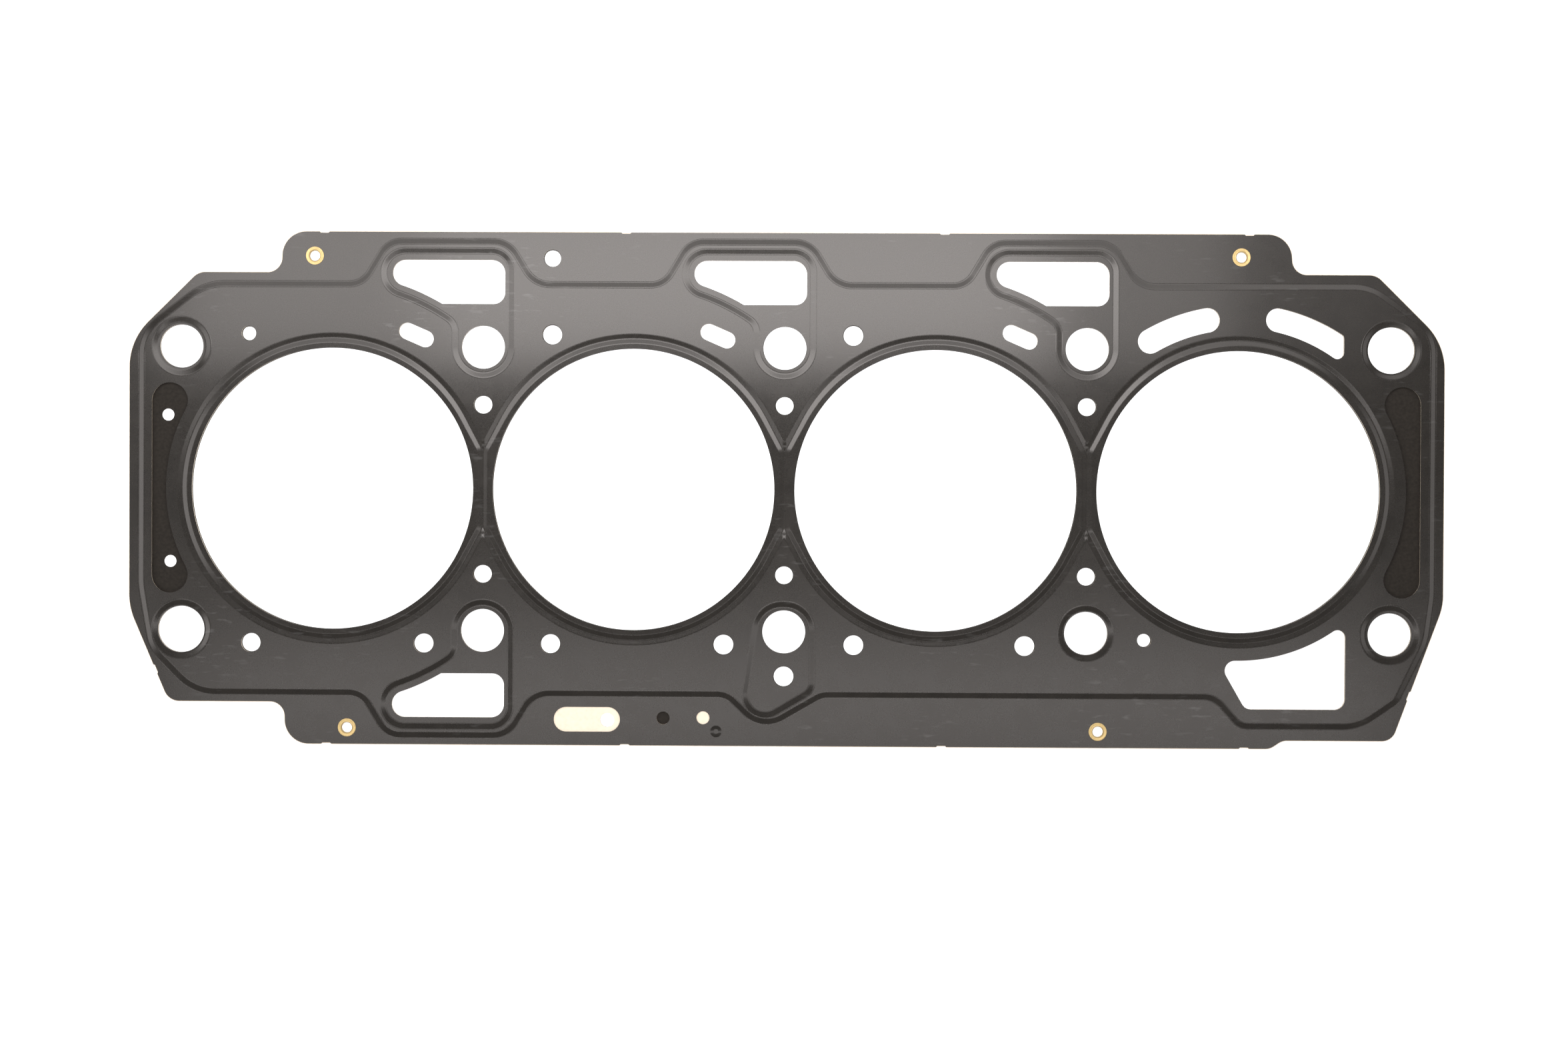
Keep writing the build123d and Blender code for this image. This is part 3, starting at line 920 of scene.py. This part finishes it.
def white_backdrop(name, level):
    """Pale surface that the camera and mirror-like rays see as white."""
    n = Nodes(name)
    path = n.node("ShaderNodeLightPath").outputs
    mirrored = n.math("ADD", path["Is Glossy Ray"], path["Is Transmission Ray"])
    seen = n.math("ADD", path["Is Camera Ray"], mirrored, clamp=True)
    n.set("Base Color", (0.8, 0.8, 0.8, 1.0))
    n.set("Roughness", 0.9)
    n.set("Specular IOR Level", 0.0)
    n.set("Emission Color", (1.0, 1.0, 1.0, 1.0))
    n.set("Emission Strength", n.math("MULTIPLY", seen, level))
    return n.material


coat = coating()
# Duller copy of the coat: painted shade on the sheets' inner faces
inner = shaded_inner_coat()
edge = cut_edge()
cream = carrier_coat()
brass = eyelet_brass("eyelet_brass")
# Darker brass: painted shade for the eyelets' groove and mouth
mouth = eyelet_brass("eyelet_mouth_painted_shade", 0.6)

top = sheet_piece("top_sheet", upper_net(), CARRIER_HIGH, SHEET, 1, [coat, edge, inner])
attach(top, "root")
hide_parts("top_layer")

carrier = CARRIER_HIGH - CARRIER_LOW
middle = sheet_piece("middle_sheet", carrier_net(), CARRIER_LOW, carrier, 1, [cream, cream, cream])
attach(middle, "root")
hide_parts("carrier_layer")

under = sheet_piece("under_sheet", lower_net(), CARRIER_LOW - SHEET, SHEET, -1, [coat, edge, inner])
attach(under, "root")
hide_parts("bottom_layer")

for node in EYELETS:
    piece = eyelet_piece(node, [brass, mouth])
    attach(piece, "root")
    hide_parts(node)

# Floor, a hair under the gasket, so that no two faces lie in one plane

FLOOR_HALF = 6.0
FLOOR_DROP = 0.00002
FLOOR_GLOW = 0.6

corners = [(x * FLOOR_HALF, y * FLOOR_HALF, -FLOOR_DROP) for x, y in ((-1, -1), (1, -1), (1, 1), (-1, 1))]
floor_mesh = bpy.data.meshes.new("floor")
floor_mesh.from_pydata(corners, [], [(0, 1, 2, 3)])
floor_mesh.materials.append(white_backdrop("floor_white", FLOOR_GLOW))
floor = placed("floor", floor_mesh)


# Light. As the camera sees it, the coat mirrors the rear strip in its rear flats, the front box
# in its front flats and the rear box in ramps that lean to the rear. Lengths are metres.

def soft_box(name, place, aim, size, radiance):
    """Rectangular light with an even brightness, turned to a point."""
    data = bpy.data.lights.new(name, "AREA")
    data.shape = "RECTANGLE"
    data.size, data.size_y = size
    data.energy = radiance * pi * size[0] * size[1]
    lamp = placed(name, data)
    turn = (Vector(place) - Vector(aim)).normalized().to_track_quat("Z", "Y").to_matrix().to_4x4()
    lamp.matrix_world = Matrix.Translation(Vector(place)) @ turn
    return lamp


LOW_BOXES = 0.3
HIGH_BOXES = 2.0
# Boxes that face straight down: span in x, span in y, radiance, height
OVERHEAD = {
    "rear_strip_start": ((-0.26, -0.15), (0.050, 0.130), 4.7, LOW_BOXES),
    "rear_strip": ((-0.15, 0.105), (0.050, 0.130), 6.95, LOW_BOXES),
    "rear_strip_end": ((0.105, 0.18), (0.050, 0.130), 3.1, LOW_BOXES),
    "rear_strip_tail": ((0.18, 0.25), (0.050, 0.130), 0.9, LOW_BOXES),
    "rear_box": ((-0.30, 0.30), (0.130, 0.27), 2.3, LOW_BOXES),
    "left_box": ((-0.34, -0.262), (-0.07, 0.07), 0.6, LOW_BOXES),
    "front_box": ((-0.68, 0.64), (-0.285, -0.155), 4.15, HIGH_BOXES),
}
for name, ((left, right), (front, rear), radiance, height) in OVERHEAD.items():
    x, y = (left + right) / 2, (front + rear) / 2
    lamp = soft_box(name, (x, y, height), (x, y, 0.0), (right - left, rear - front), radiance)
    # They hang between the camera and the gasket.
    lamp.visible_camera = False

# Boxes at the sides that face the gasket: place, size, radiance
FILLS = {
    "front_fill": ((0.0, -2.4, 2.3), (3.0, 1.4), 2.3),
    "left_fill": ((-2.5, 0.0, 2.4), (1.4, 2.4), 3.2),
    "right_fill": ((2.5, 0.0, 2.4), (1.4, 2.4), 1.8),
}
for name, (place, size, radiance) in FILLS.items():
    soft_box(name, place, (0.0, 0.0, 0.0), size, radiance)

WORLD_LEVEL = 0.30
world = bpy.data.worlds.new("room")
world.use_nodes = True
world.node_tree.nodes["Background"].inputs["Color"].default_value = (1.0, 1.0, 1.0, 1.0)
world.node_tree.nodes["Background"].inputs["Strength"].default_value = WORLD_LEVEL
bpy.context.scene.world = world

# Camera, fitted to the photo: its width and focal length in pixels, then metres and turns
# about Z, X and Y

PHOTO_WIDTH = 2352
FOCAL = 4018.91
DISTANCE = 0.8
LOOK_AT = (-0.000063, -0.00965, 0.0)
TURNS = (radians(0.2658), radians(-0.6367), radians(0.6914))

camera_data = bpy.data.cameras.new("camera")
camera_data.sensor_fit = "HORIZONTAL"
camera_data.angle = 2 * atan(PHOTO_WIDTH / 2 / FOCAL)
camera_data.clip_start, camera_data.clip_end = 0.05, 50.0
camera = placed("camera", camera_data)
turn = Matrix.Identity(4)
for angle, axis in zip(TURNS, "ZXY"):
    turn = turn @ Matrix.Rotation(angle, 4, axis)
raised = Matrix.Translation(Vector((0.0, 0.0, DISTANCE)))
camera.matrix_world = Matrix.Translation(Vector(LOOK_AT)) @ turn @ raised
bpy.context.scene.camera = camera
bpy.context.scene.view_settings.view_transform = "Standard"
